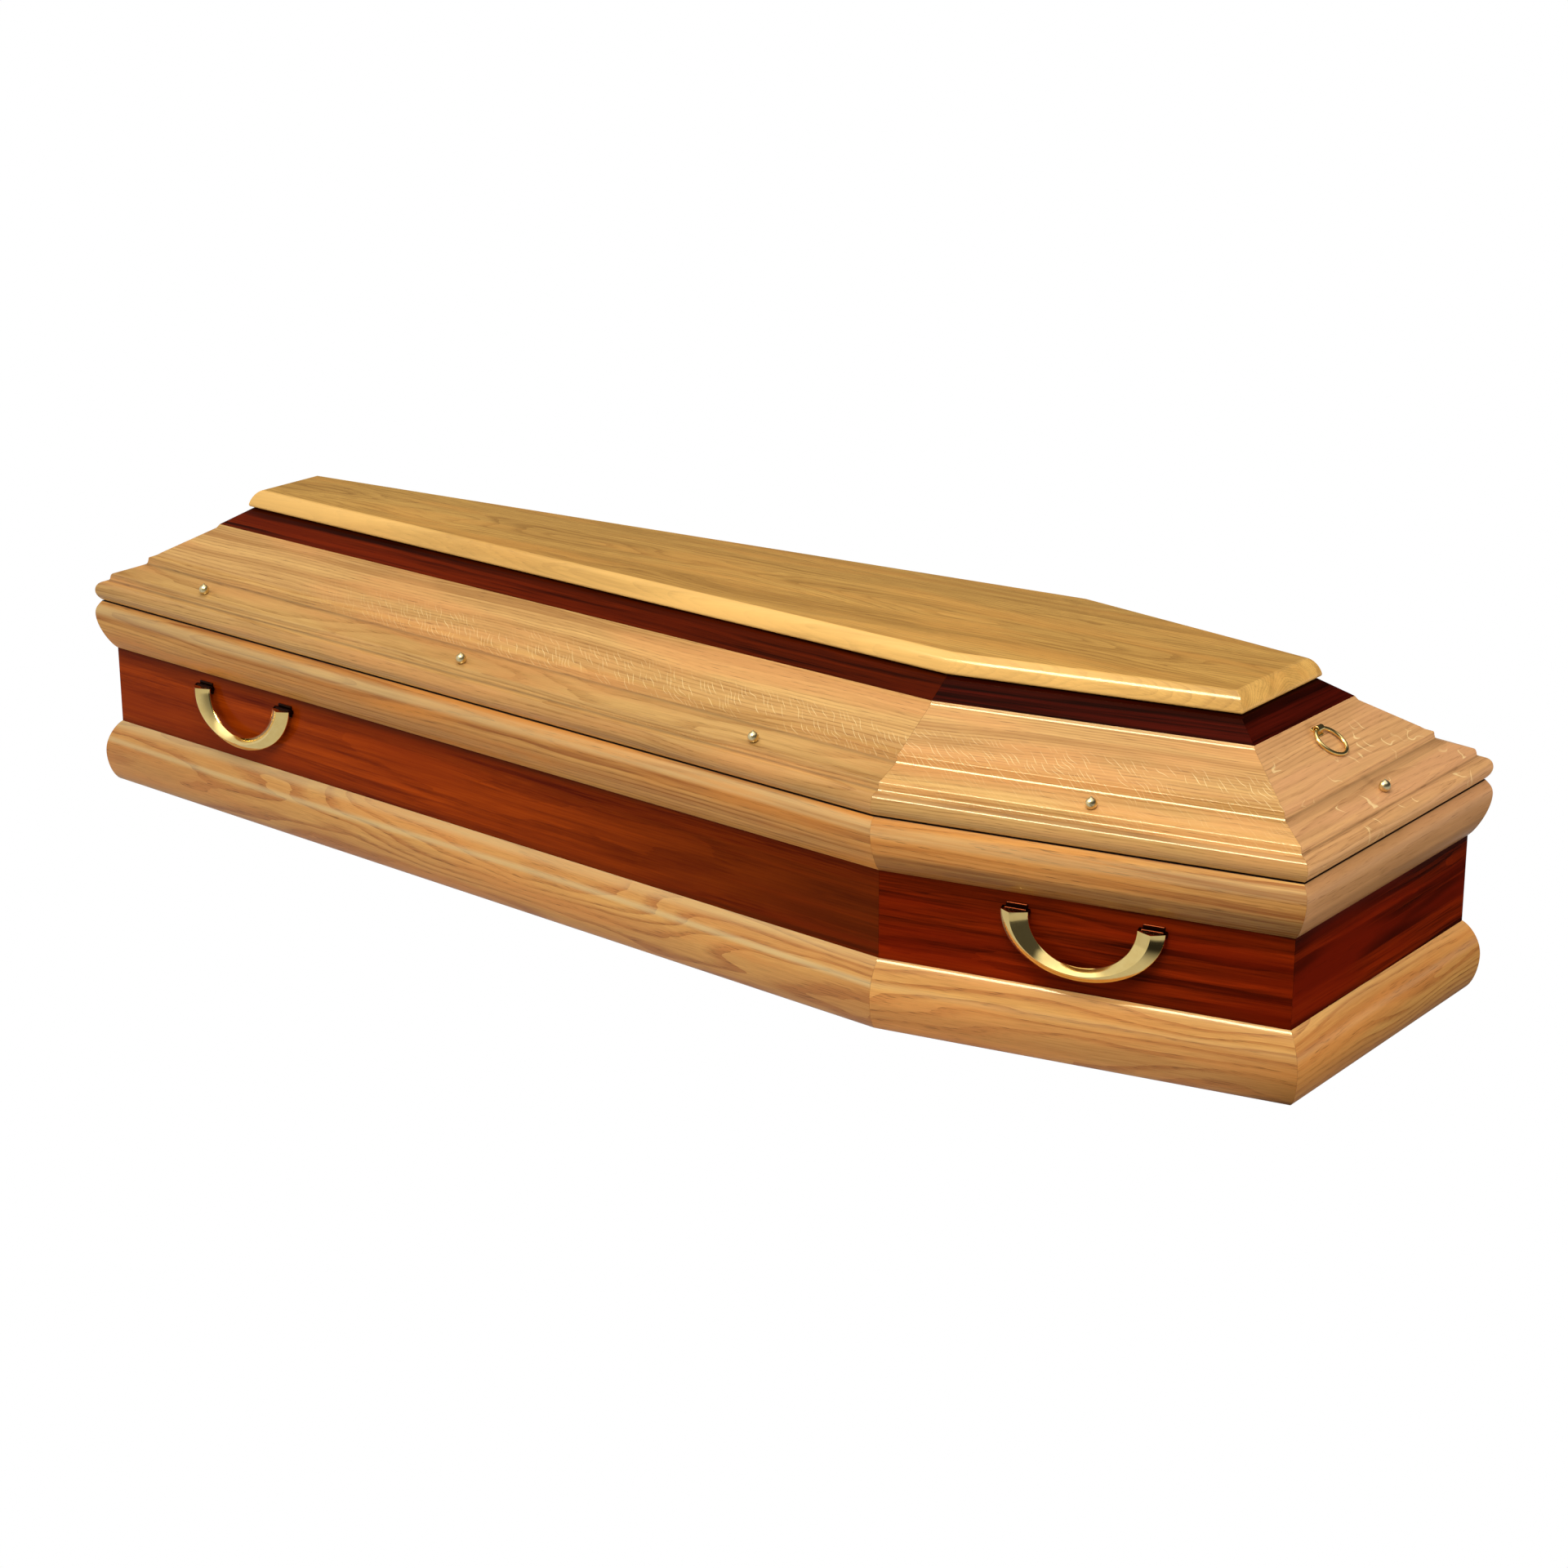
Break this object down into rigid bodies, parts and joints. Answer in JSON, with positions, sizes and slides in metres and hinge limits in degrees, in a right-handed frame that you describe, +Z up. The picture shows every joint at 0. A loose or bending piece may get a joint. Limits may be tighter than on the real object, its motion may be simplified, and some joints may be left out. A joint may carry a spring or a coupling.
{
  "type": "wooden coffin",
  "caption": "Shouldered wooden coffin: hollow box and stepped lift-off lid in pale and dark stained wood, with moulded edges, brass swing handles, ball-headed lid screws and a lid ring.",
  "frame": {"origin": "on the floor under the middle of the coffin", "axes": "+X to the head end, +Z up, -Y the left side of a person lying inside"},
  "size_m": [2.0436, 0.6908, 0.4425],
  "materials": {
    "oak": "pale oak, clear gloss lacquer",
    "dark_wood": "mahogany red stain under high-gloss lacquer",
    "brass": "polished brass plate"
  },
  "bodies": {
    "coffin": {"bottom_board": "oak", "wall_left_long": "dark_wood", "wall_left_short": "dark_wood", "wall_head_end": "dark_wood", "wall_right_short": "dark_wood", "wall_right_long": "dark_wood", "wall_foot_end": "dark_wood", "base_moulding_left_long": "oak", "base_moulding_left_short": "oak", "base_moulding_head_end": "oak", "base_moulding_right_short": "oak", "base_moulding_right_long": "oak", "base_moulding_foot_end": "oak", "cornice_moulding_left_long": "oak", "cornice_moulding_left_short": "oak", "cornice_moulding_head_end": "oak", "cornice_moulding_right_short": "oak", "cornice_moulding_right_long": "oak", "cornice_moulding_foot_end": "oak", "lid_board_left_long": "oak", "lid_board_left_short": "oak", "lid_board_head_end": "oak", "lid_board_right_short": "oak", "lid_board_right_long": "oak", "lid_board_foot_end": "oak", "lid_dark_band_left_long": "dark_wood", "lid_dark_band_left_short": "dark_wood", "lid_dark_band_head_end": "dark_wood", "lid_dark_band_right_short": "dark_wood", "lid_dark_band_right_long": "dark_wood", "lid_dark_band_foot_end": "dark_wood", "lid_top_board": "oak", "handle_lug_left_foot_foot": "brass", "handle_lug_left_foot_head": "brass", "handle_lug_left_head_foot": "brass", "handle_lug_left_head_head": "brass", "handle_lug_right_head_foot": "brass", "handle_lug_right_head_head": "brass", "handle_lug_right_foot_foot": "brass", "handle_lug_right_foot_head": "brass", "lid_screw_left_foot": "brass", "lid_screw_left_middle": "brass", "lid_screw_left_shoulder": "brass", "lid_screw_left_head": "brass", "lid_screw_head_end": "brass", "lid_screw_right_head": "brass", "lid_screw_right_shoulder": "brass", "lid_screw_right_middle": "brass", "lid_screw_right_foot": "brass", "lid_screw_foot_end": "brass", "lid_ring_knuckle": "brass"},
    "left_foot_handle": {"handle_left_foot": "brass"},
    "left_head_handle": {"handle_left_head": "brass"},
    "right_head_handle": {"handle_right_head": "brass"},
    "right_foot_handle": {"handle_right_foot": "brass"},
    "ring": {"lid_ring": "brass"}
  },
  "joints": [
    {"name": "left_foot_handle_swing", "type": "hinge", "parent": "coffin", "child": "left_foot_handle", "pos_m": [-0.70718, -0.23867, 0.186], "axis": [-0.9972, 0.0751, 0], "range_deg": [0, 90]},
    {"name": "left_head_handle_swing", "type": "hinge", "parent": "coffin", "child": "left_head_handle", "pos_m": [0.74605, -0.27727, 0.186], "axis": [-0.9822, -0.1879, 0], "range_deg": [0, 90]},
    {"name": "right_head_handle_swing", "type": "hinge", "parent": "coffin", "child": "right_head_handle", "pos_m": [0.74605, 0.27727, 0.186], "axis": [0.9822, -0.1879, 0], "range_deg": [0, 90]},
    {"name": "right_foot_handle_swing", "type": "hinge", "parent": "coffin", "child": "right_foot_handle", "pos_m": [-0.70718, 0.23867, 0.186], "axis": [0.9972, 0.0751, 0], "range_deg": [0, 90]},
    {"name": "lid_ring_swing", "type": "hinge", "parent": "coffin", "child": "ring", "pos_m": [0.89978, 0, 0.38426], "axis": [0, -1, 0], "range_deg": [0, 150]}
  ]
}
